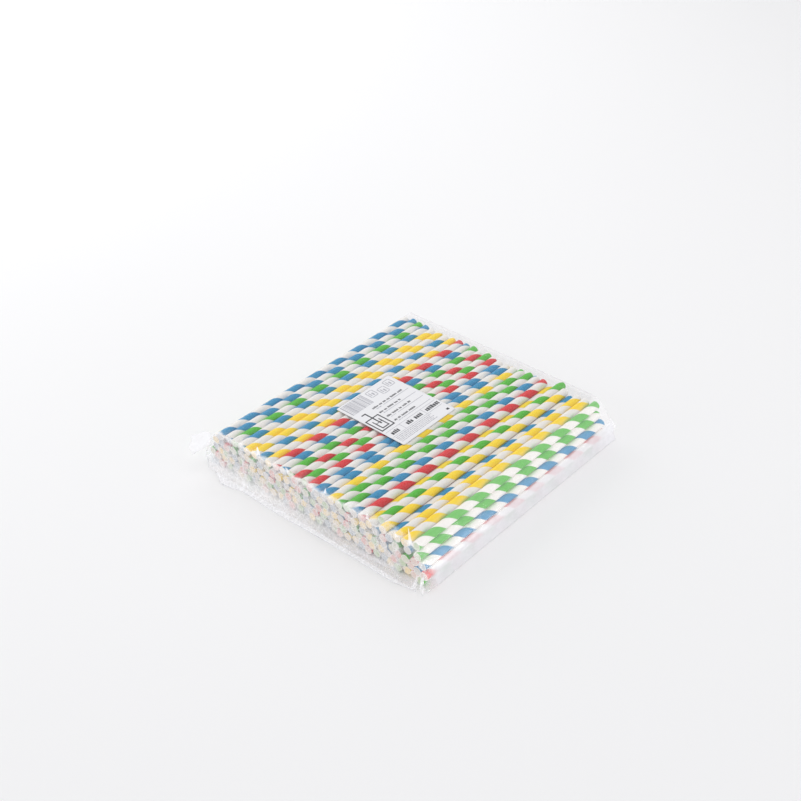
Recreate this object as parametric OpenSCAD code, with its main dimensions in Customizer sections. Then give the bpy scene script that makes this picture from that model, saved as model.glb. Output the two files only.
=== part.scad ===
// A clear film pack of striped paper drinking straws.
// Millimetres, +Z up, straws along Y. The origin is on the floor under the middle of the pile.

/* [Straws] */
// Outside diameter of a straw
straw_d = 8; // [7:0.5:12]
// Length of a straw
straw_l = 250; // [150:5:300]
// Thickness of a straw's paper wall
straw_wall = 0.4; // [0.3:0.05:0.8]
// Air between neighbours in the top row
straw_gap = 0.45; // [0.3:0.05:1]
// Air between neighbours in the tight rows below
tight_gap = 0.07; // [0.06:0.01:0.3]
// Air left where one straw rests on another
rest_gap = 0.05; // [0.02:0.01:0.2]
// How far the two sunk straws of the top row lie below their neighbours
sunk_drop = 3.9; // [2.5:0.1:4.5]
// How unevenly the hidden straws are pushed along their length
push_spread = 1.4; // [0:0.1:1.5]

/* [Film] */
// Thickness of the film wall
film_t = 0.3; // [0.2:0.05:0.6]
// Air between the film and the straws it is drawn round
wrap_gap = 0.3; // [0.2:0.05:0.6]
// Room between the straws' near ends and the near end wall
near_room = 2.8; // [2.7:0.1:8]
// Room between the straws' far ends and the far end wall
far_room = 9.4; // [9.2:0.1:15]
// Radius of the crease where the sleeve turns down into an end wall
crease_r = 1.2; // [0.8:0.1:1.3]
// How far an end wall leans out on its way down to the floor
wall_lean = 4; // [3:0.5:6]
// Reach of the flat skirt beyond the foot of an end wall
skirt_l = 8; // [4:0.5:15]
// Depth of the upright pleats in an end wall
pleat_depth = 0.7; // [0:0.1:1.5]
// Distance from one pleat to the next
pleat_step = 17; // [12:1:40]
// Reach of the loose ear at the near left corner
ear_l = 22; // [10:1:30]
// Height of the loose ear
ear_h = 15; // [8:1:20]
// Reach of the gathered folds at the other corners
fold_l = 8; // [4:0.5:12]

/* [Label] */
// Size of the label across the straws
label_w = 81; // [40:1:120]
// Size of the label along the straws
label_l = 70.5; // [40:0.5:120]
// Thickness of the label
label_t = 0.2; // [0.1:0.05:0.5]
// Radius of the label's corners
label_r = 1; // [0.5:0.5:5]
// Place of the label's middle across the straws
label_x = -16.5; // [-40:0.5:40]
// Place of the label's middle along the straws
label_y = 1; // [-40:1:40]

/* [Hidden] */
$fn = 64;
top_n = 28;
// The sunk straws of the top row, counted from 0
sunk = [21, 24];
// The second row's straws left of the first sunk one, and right of the second
second_left_n = 23;
second_right_n = 3;
third_n = 31;
fourth_n = 32;
bottom_n = 31;

// One letter for the stripe colour of each straw: blue, green, red or yellow
top_colours = "BBGBYYBYRBGRGRBBYGGBRYGYBYYG";
mixed_colours = "BGRYYBRGBYG";
row_end_colours = "GGBRG";
// How far each straw of the top row is pushed towards the far end
top_push = [
    0, 2, 1, 1, 0, 1, 0, 1, 2, 2, 3, -1, 3, 0,
    -1, -1, -1, 0, 1, 0, 0, 1, 8, 0, -1, 0, 0, 4
];

// Distances between the axes of straws: side by side, side by side in a tight row, and touching
pitch = straw_d + straw_gap;
tight_pitch = straw_d + tight_gap;
reach = straw_d + rest_gap;
// A sunk straw's distance across to its neighbours, and to the two straws that it rests on
sunk_side = sqrt(reach * reach - sunk_drop * sunk_drop) + straw_gap;
sunk_half = sqrt(reach * reach - pow(reach - sunk_drop, 2));
bed_z = film_t + wrap_gap + straw_d / 2;

// Places of the straws across each row

function is_sunk(i) = i == sunk[0] || i == sunk[1];
function running_sum(list, n) = n == 0 ? 0 : running_sum(list, n - 1) + list[n - 1];
function even_row(n) = [for (i = [0:n - 1]) (i - (n - 1) / 2) * tight_pitch];

top_gaps = [for (i = [0:top_n - 2]) is_sunk(i) || is_sunk(i + 1) ? sunk_side : pitch];
top_w = running_sum(top_gaps, top_n - 1);
top_x = [for (i = [0:top_n - 1]) running_sum(top_gaps, i) - top_w / 2];

second_left_end = top_x[sunk[0]] - sunk_half;
second_right_start = top_x[sunk[1]] + sunk_half;
second_right_step = (top_w / 2 + pitch / 2 - second_right_start) / (second_right_n - 1);
second_x = concat(
    [for (i = [second_left_n - 1:-1:0]) second_left_end - i * tight_pitch],
    [top_x[sunk[0]] + sunk_half, top_x[sunk[1]] - sunk_half],
    [for (i = [0:second_right_n - 1]) second_right_start + i * second_right_step]
);

// Heights of the straws: each one rests on the highest support in the row below

function settle(row_x, below_x, below_z) = [
    for (x = row_x) max([
        for (j = [0:len(below_x) - 1])
            let (across = abs(x - below_x[j]))
            if (across < reach) below_z[j] + sqrt(reach * reach - across * across)
    ])
];

bottom_x = even_row(bottom_n);
fourth_x = even_row(fourth_n);
third_x = even_row(third_n);
bottom_z = [for (x = bottom_x) bed_z];
fourth_z = settle(fourth_x, bottom_x, bottom_z);
third_z = settle(third_x, fourth_x, fourth_z);
second_z = settle(second_x, third_x, third_z);
top_z = settle(top_x, second_x, second_z);

rows_x = [top_x, second_x, third_x, fourth_x, bottom_x];
rows_z = [top_z, second_z, third_z, fourth_z, bottom_z];
row_names = ["top_row", "second_row", "third_row", "fourth_row", "bottom_row"];

// The outline that the film is drawn to: the straws' axes are wrapped by a taut line,
// which is then moved out by a straw's radius and the gap. Beside the widest straws the line
// drops straight to the floor.

function direction(from, to) = atan2(to.y - from.y, to.x - from.x);
function turn(heading, new_heading) = (new_heading - heading + 720) % 360;
function wrap_score(at, to, heading) =
    at == to ? 360 : turn(heading, direction(at, to)) - norm(to - at) / 1000000;
function wrap_next(points, at, heading) =
    let (scores = [for (p = points) wrap_score(at, p, heading)])
    points[search(min(scores), scores)[0]];
function wrap_from(points, at, heading, first) =
    let (next = wrap_next(points, at, heading))
    next == first ? [at] : concat([at], wrap_from(points, next, direction(at, next), first));

axes = [for (r = [0:4]) for (i = [0:len(rows_x[r]) - 1]) [rows_x[r][i], rows_z[r][i]]];
foot_left = [min([for (p = axes) p.x]), bed_z];
foot_right = [max([for (p = axes) p.x]), bed_z];
corners = wrap_from(concat(axes, [foot_left, foot_right]), foot_left, 0, foot_left);
corner_n = len(corners);
arc_step = 18;
span_step = 6;

function corner(i) = corners[(i + corner_n) % corner_n];
function edge_heading(i) = direction(corner(i), corner(i + 1));
function corner_arc(i, radius) =
    let (start = edge_heading(i - 1) - 90, sweep = turn(start + 90, edge_heading(i)))
    let (n = round(sweep / arc_step), parts = n == 0 ? [0.5] : [for (k = [0:n]) k / n])
    [for (part = parts) let (a = start + sweep * part) corner(i) + radius * [cos(a), sin(a)]];
function edge_points(i, radius) =
    let (
        a = edge_heading(i) - 90,
        out = radius * [cos(a), sin(a)],
        n = floor(norm(corner(i + 1) - corner(i)) / span_step)
    )
    n < 2 ? [] : [for (k = [1:n - 1]) corner(i) + out + (corner(i + 1) - corner(i)) * k / n];
function outline(radius) = [
    for (i = [0:corner_n - 1]) each concat(corner_arc(i, radius), edge_points(i, radius))
];

inner_outline = outline(straw_d / 2 + wrap_gap);
outer_outline = outline(straw_d / 2 + wrap_gap + film_t);
film_top = max([for (p = outer_outline) p.y]);
film_right = max([for (p = outer_outline) p.x]);
film_left = min([for (p = outer_outline) p.x]);

// The film skin as rings across the pack. A ring is the outline with its height scaled to
// stand h high, its width scaled by w, and its pleats p deep, at y.

seal_h = 2 * film_t;
foot_narrowing = 0.04;
skirt_w = 0.97;
crease_turns = [0:30:90];
wall_steps = [0.15:0.17:1];

function pleat(x) = sin(360 * x / pleat_step) + 0.6 * sin(360 * x / (pleat_step * 0.38) + 40);
function end_rings(side, room, height, foot_h, inset, with_skirt) =
    let (wall = straw_l / 2 + room + film_t - inset)
    concat(
        [
            for (a = crease_turns)
                [side * (wall - crease_r * (1 - sin(a))), height - crease_r * (1 - cos(a)), 1, 0]
        ],
        [
            for (s = wall_steps)
                let (
                    h = (height - crease_r) * (1 - s) + foot_h * s,
                    pleat_here = side * pleat_depth * sin(180 * s)
                )
                [side * (wall + wall_lean * s), h, 1 - foot_narrowing * s, pleat_here]
        ],
        with_skirt ? [[side * (wall + wall_lean + skirt_l), foot_h, skirt_w, 0]] : []
    );
function backwards(list) = [for (i = [len(list) - 1:-1:0]) list[i]];

module skin(points, base_z, foot_h, inset, with_skirt) {
    height = max([for (p = points) p.y]) - base_z;
    near = end_rings(-1, near_room, height, foot_h, inset, with_skirt);
    far = end_rings(1, far_room, height, foot_h, inset, with_skirt);
    rings = concat(backwards(near), far);
    n = len(points);
    last = len(rings) - 1;
    vertices = [
        for (ring = rings)
            for (p = points)
                [
                    p.x * ring[2],
                    ring[0] + ring[3] * (pleat(p.x) + 1.6) / 2,
                    base_z + (p.y - base_z) * ring[1] / height
                ]
    ];
    sides = [
        for (j = [0:last - 1])
            for (i = [0:n - 1])
                let (a = j * n + i, b = j * n + (i + 1) % n)
                each [[a, b, a + n], [b, b + n, a + n]]
    ];
    near_cap = [for (i = [n - 1:-1:0]) i];
    far_cap = [for (i = [0:n - 1]) last * n + i];
    polyhedron(vertices, concat(sides, [near_cap, far_cap]));
}

// Folds of film at the corners: the place of the root, the heading, the reach, and the lowest
// and the highest point. The first one is the ear.
near_wall = -(straw_l / 2 + near_room);
far_wall = straw_l / 2 + far_room;
ear_top = film_top - straw_d;
folds = [
    [film_left + straw_d, near_wall, 225, ear_l, ear_top - ear_h, ear_top],
    [film_right - straw_d / 2, near_wall, 290, fold_l, 0, film_top * 0.7],
    [film_right - straw_d, near_wall, 265, fold_l * 0.8, 0, film_top * 0.5],
    [film_left + straw_d, far_wall, 100, fold_l, 0, film_top * 0.6],
    [film_right - straw_d, far_wall, 80, fold_l, 0, film_top * 0.6]
];
fold_root = -2;

// A thin upright fold of film that stands out from a corner of the pack
module corner_fold(x, y, heading, outward, low, high) {
    bend = [outward * 0.9, low + (high - low) * 0.7];
    translate([x, y, 0])
        rotate([90, 0, heading])
            linear_extrude(seal_h, center = true)
                polygon([[fold_root, low], [outward, low], bend, [fold_root, high]]);
}

module film_bag() {
    color("aliceblue", 0.4)
        difference() {
            union() {
                skin(outer_outline, 0, seal_h, 0, true);
                for (f = folds)
                    corner_fold(f[0], f[1], f[2], f[3], f[4], f[5]);
            }
            skin(inner_outline, film_t, film_t / 3, film_t, false);
        }
}

module label() {
    color("white")
        translate([label_x, label_y, film_top])
            linear_extrude(label_t)
                hull()
                    for (x = [-1, 1], y = [-1, 1])
                        translate([x * (label_w / 2 - label_r), y * (label_l / 2 - label_r)])
                            circle(label_r);
}

// One straw: a plain paper tube
module straw(row, i) {
    push = row == 0 ? top_push[i] : push_spread * sin(97 * i + 53 * row);
    translate([rows_x[row][i], push, rows_z[row][i]])
        rotate([90, 0, 0])
            difference() {
                cylinder(h = straw_l, d = straw_d, center = true);
                cylinder(h = straw_l + 1, d = straw_d - 2 * straw_wall, center = true);
            }
}

function colour_letter(row, i) =
    row == 0 ? top_colours[i] :
    i == len(rows_x[row]) - 1 ? row_end_colours[row] :
    mixed_colours[(i + 4 * row) % len(mixed_colours)];
function colour_name(letter) =
    letter == "B" ? "steelblue" :
    letter == "G" ? "limegreen" :
    letter == "R" ? "crimson" : "gold";

module top_straw(i) {
    color(colour_name(colour_letter(0, i)))
        straw(0, i);
}

module straw_row(row) {
    for (i = [0:len(rows_x[row]) - 1])
        color(colour_name(colour_letter(row, i)))
            straw(row, i);
}

// Each straw of the top row is a node of its own, numbered from the left
function straw_name(i) = str("straw_", i < 9 ? "0" : "", i + 1);

film_bag();
label();
for (i = [0:top_n - 1]) {
    top_straw(i);
}
for (row = [1:4]) {
    straw_row(row);
}
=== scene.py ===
"""Looks of a wrapped pack of striped paper drinking straws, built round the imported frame.

Lengths are metres unless a name ends in _mm or a docstring says millimetres. +Z is up and +Y
runs along the straws.
"""

import logging
import math
from dataclasses import dataclass, field
from enum import Enum
from typing import Optional, Sequence

import bmesh
import bpy
import numpy as np
from mathutils import Matrix, Vector


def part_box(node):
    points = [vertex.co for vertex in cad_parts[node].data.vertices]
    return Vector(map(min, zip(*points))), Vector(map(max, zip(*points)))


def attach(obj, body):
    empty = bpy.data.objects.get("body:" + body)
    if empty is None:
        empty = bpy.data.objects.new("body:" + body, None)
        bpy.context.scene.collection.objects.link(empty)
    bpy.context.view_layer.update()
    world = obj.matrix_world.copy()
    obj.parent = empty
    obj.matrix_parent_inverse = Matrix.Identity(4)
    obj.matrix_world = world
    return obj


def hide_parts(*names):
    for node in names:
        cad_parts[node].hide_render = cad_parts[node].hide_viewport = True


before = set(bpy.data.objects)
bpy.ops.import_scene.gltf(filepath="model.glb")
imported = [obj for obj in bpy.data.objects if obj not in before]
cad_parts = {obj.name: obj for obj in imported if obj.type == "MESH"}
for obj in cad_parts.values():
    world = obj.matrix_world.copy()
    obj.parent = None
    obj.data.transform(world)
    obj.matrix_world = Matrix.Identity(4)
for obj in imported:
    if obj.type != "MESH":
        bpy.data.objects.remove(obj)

MM = 0.001
BLACK = (0.0, 0.0, 0.0, 1.0)
WHITE = (1.0, 1.0, 1.0, 1.0)
Colour = tuple[float, float, float, float]
Socket = bpy.types.NodeSocket
Thing = bpy.types.Object
log = logging.getLogger("straw_pack")


def srgb(red: int, green: int, blue: int) -> Colour:
    """A linear colour from screen values.

    Args:
        red: red from 0 to 255.
        green: green from 0 to 255.
        blue: blue from 0 to 255.

    Returns:
        The linear red, green, blue and an alpha of 1.
    """
    shares = [value / 255 for value in (red, green, blue)]
    linear = [s / 12.92 if s <= 0.04045 else ((s + 0.055) / 1.055) ** 2.4 for s in shares]
    return (linear[0], linear[1], linear[2], 1.0)


def smooth_step(low: float, high: float, values: np.ndarray) -> np.ndarray:
    """A smooth rise from 0 at low to 1 at high.

    Args:
        low: value where the rise starts.
        high: value where it ends; below low, the curve falls instead.
        values: where to read the curve.

    Returns:
        The curve's values.
    """
    share = np.clip((values - low) / (high - low), 0, 1)
    return share * share * (3 - 2 * share)


class Ink(Enum):
    """Colours that the straws' stripes are printed in, by their screen values."""

    BLUE = (0, 137, 186)
    GREEN = (66, 182, 14)
    RED = (220, 12, 28)
    YELLOW = (255, 219, 10)

    @property
    def place(self) -> int:
        """Number of the ink in the order of the straws' materials."""
        return list(Ink).index(self)

    @property
    def slot(self) -> str:
        """The record's material slot for a straw in this ink."""
        return f"paper_{self.name.lower()}"

    @staticmethod
    def of_letter(letter: str) -> "Ink":
        """The ink whose name starts with a letter."""
        return next(ink for ink in Ink if ink.name[0] == letter)


class Number:
    """A socket that carries a number. Arithmetic on it adds Math nodes."""

    def __init__(self, kit: "NodeKit", socket: Socket) -> None:
        self.kit = kit
        self.socket = socket

    def math(self, operation: str, *values: object, clamp: bool = False) -> "Number":
        """Adds a Math node.

        Args:
            operation: the node's operation.
            values: the other operands, numbers or wrapped sockets.
            clamp: whether the result is kept between 0 and 1.

        Returns:
            The node's result.
        """
        inputs = dict(enumerate((self, *values)))
        return self.kit.number(
            self.kit.make("ShaderNodeMath", inputs, operation=operation, use_clamp=clamp)
        )

    def __add__(self, other: object) -> "Number":
        """Sum."""
        return self.math("ADD", other)

    __radd__ = __add__

    def __sub__(self, other: object) -> "Number":
        """Difference."""
        return self.math("SUBTRACT", other)

    def __rsub__(self, other: float) -> "Number":
        """Difference from a plain number."""
        return (self * -1.0).math("ADD", other)

    def __mul__(self, other: object) -> "Number":
        """Product."""
        return self.math("MULTIPLY", other)

    __rmul__ = __mul__

    def __truediv__(self, other: object) -> "Number":
        """Quotient."""
        return self.math("DIVIDE", other)

    def fraction(self) -> "Number":
        """The part after the decimal point."""
        return self.math("FRACT")

    def distance(self) -> "Number":
        """The number without its sign."""
        return self.math("ABSOLUTE")

    def clamped(self) -> "Number":
        """The number kept between 0 and 1."""
        return self.math("ADD", 0.0, clamp=True)

    def rise(self, low: float, high: float) -> "Number":
        """A smooth rise from 0 at low to 1 at high.

        Args:
            low: value where the rise starts.
            high: value where it ends.

        Returns:
            The height of the rise at this number.
        """
        inputs = {"Value": self, "From Min": low, "From Max": high}
        return self.kit.number(
            self.kit.make("ShaderNodeMapRange", inputs, interpolation_type="SMOOTHSTEP")
        )

    def fall(self, low: float, high: float) -> "Number":
        """A smooth fall from 1 at low to 0 at high."""
        return 1.0 - self.rise(low, high)


class NodeKit:
    """Makes the nodes of one tree."""

    def __init__(self, tree: bpy.types.NodeTree) -> None:
        """Empties the tree and keeps it."""
        self.tree = tree
        tree.nodes.clear()

    @staticmethod
    def live(sockets: Sequence[Socket], key: object) -> Socket:
        """Finds a socket by number or by name among those in use.

        Args:
            sockets: a node's inputs or outputs.
            key: the socket's number, or its name.

        Returns:
            The socket.
        """
        if isinstance(key, int):
            return sockets[key]
        return next(s for s in sockets if s.name == key and s.enabled)

    def make(
        self, kind: str, inputs: Optional[dict] = None, **settings: object
    ) -> bpy.types.Node:
        """Adds a node.

        Args:
            kind: the node's type.
            inputs: values or links by socket name or number.
            settings: the node's own properties, which are set first.

        Returns:
            The node.
        """
        node = self.tree.nodes.new(kind)
        for name, value in settings.items():
            setattr(node, name, value)
        for key, value in (inputs or {}).items():
            self.feed(self.live(node.inputs, key), value)
        return node

    def feed(self, socket: Socket, value: object) -> None:
        """Links a socket to a number, a node's first output or a socket, or sets its value.

        Args:
            socket: the input to feed.
            value: what feeds it.
        """
        if isinstance(value, Number):
            value = value.socket
        elif isinstance(value, bpy.types.Node):
            value = value.outputs[0]
        if isinstance(value, Socket):
            self.tree.links.new(value, socket)
        else:
            socket.default_value = value

    def number(self, node: bpy.types.Node, key: object = 0) -> Number:
        """Wraps a node's output, found by number or by name."""
        return Number(self, self.live(node.outputs, key))

    def attribute(self, name: str, output: str = "Fac") -> Number:
        """Wraps an output of a mesh attribute."""
        settings = {"attribute_type": "GEOMETRY", "attribute_name": name}
        return self.number(self.make("ShaderNodeAttribute", **settings), output)

    def place(self) -> Socket:
        """The point on the surface, in the object's own coordinates."""
        return self.make("ShaderNodeTexCoord").outputs["Object"]

    def split(self, vector: object) -> tuple[Number, Number, Number]:
        """The three parts of a vector."""
        node = self.make("ShaderNodeSeparateXYZ", {0: vector})
        return tuple(Number(self, out) for out in node.outputs)

    def noise(
        self, vector: object, scale: float, detail: float = 2.0, rough: float = 0.5
    ) -> Number:
        """A noise value between 0 and 1.

        Args:
            vector: where the noise is read.
            scale: how many features lie in a metre.
            detail: number of finer layers.
            rough: strength of the finer layers.

        Returns:
            The noise.
        """
        inputs = {"Vector": vector, "Scale": scale, "Detail": detail, "Roughness": rough}
        return self.number(self.make("ShaderNodeTexNoise", inputs))

    def mix(self, share: object, first: object, second: object) -> Socket:
        """A blend of two colours.

        Args:
            share: the second colour's share.
            first: colour shown where the share is 0.
            second: colour shown where the share is 1.

        Returns:
            The blend.
        """
        inputs = {"Factor": share, "A": first, "B": second}
        node = self.make("ShaderNodeMix", inputs, data_type="RGBA")
        return self.live(node.outputs, "Result")

    def bump(self, height: Number, depth: float, strength: float = 1.0) -> bpy.types.Node:
        """A normal bent by a height.

        Args:
            height: the height, in units of depth.
            depth: metres that a height of 1 stands for.
            strength: share of the bend that is used.

        Returns:
            The node that gives the normal.
        """
        inputs = {"Strength": strength, "Distance": depth, "Height": height}
        return self.make("ShaderNodeBump", inputs)

    def principled(self, inputs: dict) -> bpy.types.Node:
        """A surface shader."""
        return self.make("ShaderNodeBsdfPrincipled", inputs)

    def show(self, shader: bpy.types.Node) -> None:
        """Links a shader to the material's output."""
        self.make("ShaderNodeOutputMaterial", {"Surface": shader})


def new_material(name: str) -> tuple[bpy.types.Material, NodeKit]:
    """Adds an empty node material.

    Args:
        name: the material's name.
    """
    material = bpy.data.materials.new(name)
    material.use_nodes = True
    return material, NodeKit(material.node_tree)


@dataclass(frozen=True)
class StripedPaper:
    """Finish of a straw: white paper wound in a helix, with one printed stripe, and a painted glow
    that is stronger on the rightmost straws.
    """

    ink: Ink
    outer_radius: float
    wall: float
    lead: float = 28.73 * MM
    stripe_share: float = 0.5
    edge_blur: float = 0.018
    seam_width: float = 0.012
    paper: Colour = srgb(236, 233, 229)
    shaded_paper: Colour = srgb(225, 221, 216)
    inner_paper: Colour = srgb(222, 217, 212)
    cut_paper: Colour = srgb(248, 246, 242)
    # Painted shade: a thin dark line along the seam stands for the shadow of the paper's step.
    seam_shadow_colour: Colour = srgb(120, 112, 108)
    seam_shadow_strength: float = 0.16
    inner_bleed: float = 0.26
    cut_bleed: float = 0.12
    thin_ink: float = 0.72
    fibre_scale: float = 2600.0
    fibre_tone: float = 0.1
    mottle_scale: float = 260.0
    mottle_tone: float = 0.16
    roughness: float = 0.55
    # Painted light: a glow standing in for light through the paper, stronger on straws in the lit
    # band at the right.
    paper_painted_glow: float = 0.3
    painted_base_glow: float = 0.1
    painted_side_light: float = 0.5
    painted_lit_band: tuple = (101 * MM, 114 * MM)

    def material(self) -> bpy.types.Material:
        """Builds the paper's material.

        Returns:
            The material, which reads the straws' axis, turn and rim attributes.
        """
        material, kit = new_material(f"striped_paper_{self.ink.name.lower()}")
        place = kit.place()
        x, y, z = kit.split(place)
        axis_x, _, axis_z = kit.split(kit.attribute("axis", "Vector"))
        across, up = x - axis_x, z - axis_z
        angle = up.math("ARCTAN2", across) / (2 * math.pi)
        phase = (y / self.lead + angle - kit.attribute("turn") + 0.25).fraction()
        off_middle = (phase - 0.5).distance()
        half = self.stripe_share / 2
        stripe = off_middle.fall(half - self.edge_blur, half + self.edge_blur)
        seam = (off_middle - half).distance().fall(0.0, self.seam_width)
        radius = (across * across + up * up).math("SQRT")
        bore = self.outer_radius - self.wall
        inside = radius.fall(bore + self.wall * 0.25, bore + self.wall * 0.5)
        fibre = kit.noise(place, self.fibre_scale, 3.0, 0.6)
        mottle = kit.noise(place, self.mottle_scale, 3.0)
        tone = (mottle - 0.5) * self.mottle_tone + (fibre - 0.5) * self.fibre_tone + 0.5
        white = kit.mix(tone.clamped(), self.shaded_paper, self.paper)
        ink = srgb(*self.ink.value)
        dark_ink = tuple(part * self.thin_ink for part in ink[:3]) + (1.0,)
        printed = kit.mix((tone + 0.2).clamped(), dark_ink, ink)
        plain = kit.mix(stripe, white, printed)
        # Painted shade: the seam's shadow line is mixed into the outer colour.
        outer = kit.mix(seam * self.seam_shadow_strength, plain, self.seam_shadow_colour)
        bleed = kit.mix(stripe * self.inner_bleed, self.inner_paper, ink)
        cut = kit.mix(stripe * self.cut_bleed, self.cut_paper, ink)
        colour = kit.mix(kit.attribute("rim"), kit.mix(inside, outer, bleed), cut)
        # Painted light: the paper glows a little everywhere and more on the rightmost straws, as
        # if lit from the right.
        lit = axis_x.rise(*self.painted_lit_band) * self.painted_side_light + self.painted_base_glow
        kit.show(
            kit.principled(
                {
                    "Base Color": colour,
                    "Roughness": self.roughness,
                    "Specular IOR Level": 0.35,
                    "Emission Color": kit.mix(inside, kit.mix(lit, BLACK, colour), bleed),
                    "Emission Strength": self.paper_painted_glow,
                    "Normal": kit.bump(fibre * 0.5 - seam, 0.04 * MM, 0.6),
                }
            )
        )
        return material


@dataclass(frozen=True)
class ClearFilm:
    """Finish of the wrapper: a clear glossy film, milky where it is gathered, with a painted glow
    and painted grey shade.
    """

    name: str = "clear_film"
    veil: Colour = srgb(246, 246, 248)
    shaded_veil: Colour = srgb(199, 197, 204)
    tint: Colour = (0.995, 0.996, 0.998, 1.0)
    veil_roughness: float = 0.35
    glow: float = 0.22
    gloss_roughness: float = 0.13
    mirror: float = 0.024
    edge_mirror: float = 0.7
    crinkle_scale: float = 150.0
    swirl_scale: float = 90.0
    cloud_scale: float = 60.0
    ripple_scale: float = 110.0
    warp: float = 8 * MM
    vein_width: float = 0.09
    vein_strength: float = 1.7
    relief: float = 1.2 * MM

    def material(self) -> bpy.types.Material:
        """Builds the film's material.

        Returns:
            The material, which reads the film's veil, crinkle and shade attributes.
        """
        material, kit = new_material(self.name)
        place = kit.place()
        crinkle = kit.attribute("crinkle")
        swirls = {"Vector": place, "Scale": self.swirl_scale, "Detail": 2.0}
        swirl = kit.make("ShaderNodeTexNoise", swirls)
        bent = kit.make(
            "ShaderNodeVectorMath",
            {0: swirl.outputs["Color"], 1: (self.warp,) * 3, 2: place},
            operation="MULTIPLY_ADD",
        )
        cells = {"Vector": bent, "Scale": self.crinkle_scale}
        edge = kit.number(
            kit.make("ShaderNodeTexVoronoi", cells, feature="DISTANCE_TO_EDGE"), "Distance"
        )
        vein = edge.fall(0.0, self.vein_width)
        cloud = kit.noise(place, self.cloud_scale, 3.0)
        milky = kit.attribute("veil") * (cloud * 0.4 + 0.8) + vein * crinkle * self.vein_strength
        ripple = kit.noise(bent, self.ripple_scale, 2.0) * 0.8 + edge * 0.8
        normal = kit.bump(ripple * crinkle, self.relief, 0.6)
        # Painted shade: the film turns grey where its shade attribute says shade falls.
        colour = kit.mix(kit.attribute("shade"), self.veil, self.shaded_veil)
        body = kit.principled(
            {
                "Base Color": colour,
                "Roughness": self.veil_roughness,
                "Specular IOR Level": 0.2,
                # Painted light: the milky film glows a little, though it is no lamp.
                "Emission Color": colour,
                "Emission Strength": self.glow,
                "Normal": normal,
            }
        )
        clear = kit.make("ShaderNodeBsdfTransparent", {"Color": self.tint})
        hazed = kit.make("ShaderNodeMixShader", {0: milky.clamped(), 1: clear, 2: body})
        glance = kit.make("ShaderNodeLayerWeight", {"Blend": 0.5, "Normal": normal})
        grazing = kit.number(glance, "Facing").math("POWER", 5.0)
        mirror = (grazing * (self.edge_mirror - self.mirror) + self.mirror).clamped()
        polish = {"Color": WHITE, "Roughness": self.gloss_roughness, "Normal": normal}
        gloss = kit.make("ShaderNodeBsdfAnisotropic", polish)
        kit.show(kit.make("ShaderNodeMixShader", {0: mirror, 1: hazed, 2: gloss}))
        return material


@dataclass(frozen=True)
class Sticker:
    """Finish of the label: smooth white paper, or the grey print on it."""

    name: str
    colour: Colour
    roughness: float = 0.45

    def material(self) -> bpy.types.Material:
        """Builds the material.

        Returns:
            A paper surface with faint fibres.
        """
        material, kit = new_material(self.name)
        fibre = kit.noise(kit.place(), 1800.0, 3.0)
        pale = tuple(min(1.0, part * 1.03 + 0.004) for part in self.colour[:3]) + (1.0,)
        kit.show(
            kit.principled(
                {
                    "Base Color": kit.mix(fibre, self.colour, pale),
                    "Roughness": self.roughness,
                    "Specular IOR Level": 0.4,
                    "Normal": kit.bump(fibre, 0.02 * MM, 0.4),
                }
            )
        )
        return material


@dataclass(frozen=True)
class Tube:
    """One straw of the frame: its axis across and up, its two ends and its radius."""

    x: float
    z: float
    near: float
    far: float
    radius: float

    @property
    def middle(self) -> float:
        """Place of the straw's middle along Y."""
        return (self.near + self.far) / 2


def read_tubes(node: str) -> list[Tube]:
    """Reads the straws of a CAD node from its mesh.

    Args:
        node: the node's name.

    Returns:
        The node's straws, from left to right.
    """
    work = bmesh.new()
    work.from_mesh(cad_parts[node].data)
    bmesh.ops.remove_doubles(work, verts=work.verts, dist=1e-6)
    waiting = set(work.verts)
    tubes = []
    while waiting:
        island = {waiting.pop()}
        edge = list(island)
        while edge:
            vert = edge.pop()
            for link in vert.link_edges:
                other = link.other_vert(vert)
                if other not in island:
                    island.add(other)
                    edge.append(other)
        waiting -= island
        points = np.array([vert.co for vert in island])
        low, high = points.min(0), points.max(0)
        middle = (low + high) / 2
        tubes.append(Tube(middle[0], middle[2], low[1], high[1], (high[0] - low[0]) / 2))
    work.free()
    return sorted(tubes, key=lambda tube: tube.x)


def new_object(name: str, data: object) -> Thing:
    """Puts a mesh, a light or a camera in the scene as an object at the origin.

    Args:
        name: the object's name.
        data: what it holds.

    Returns:
        The object.
    """
    thing = bpy.data.objects.new(name, data)
    bpy.context.scene.collection.objects.link(thing)
    return thing


def settle(piece: Thing, slot: str, *nodes: str) -> None:
    """Ties a finished piece to the frame.

    Args:
        piece: the piece.
        slot: not used.
        nodes: the CAD nodes that the piece stands for.
    """
    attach(piece, "root")
    if nodes:
        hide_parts(*nodes)
    log.info("%s: %d faces", piece.name, len(piece.data.polygons))


def frozen_copy(thing: Thing, name: str) -> Thing:
    """Turns an object and its modifiers into a plain mesh object.

    Args:
        thing: the object, which is removed.
        name: the new object's name.

    Returns:
        The plain object.
    """
    bpy.context.view_layer.update()
    graph = bpy.context.evaluated_depsgraph_get()
    mesh = bpy.data.meshes.new_from_object(thing.evaluated_get(graph))
    bpy.data.objects.remove(thing)
    mesh.name = name
    return new_object(name, mesh)


def thickened(mesh: bpy.types.Mesh, thickness: float) -> Thing:
    """Makes a sheet solid below its upper face.

    Args:
        mesh: the sheet, whose name the piece takes.
        thickness: the thickness.

    Returns:
        The piece.
    """
    name = mesh.name
    sheet = new_object(name, mesh)
    sheet.modifiers.new("thickness", "SOLIDIFY").thickness = thickness
    return frozen_copy(sheet, name)


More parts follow.
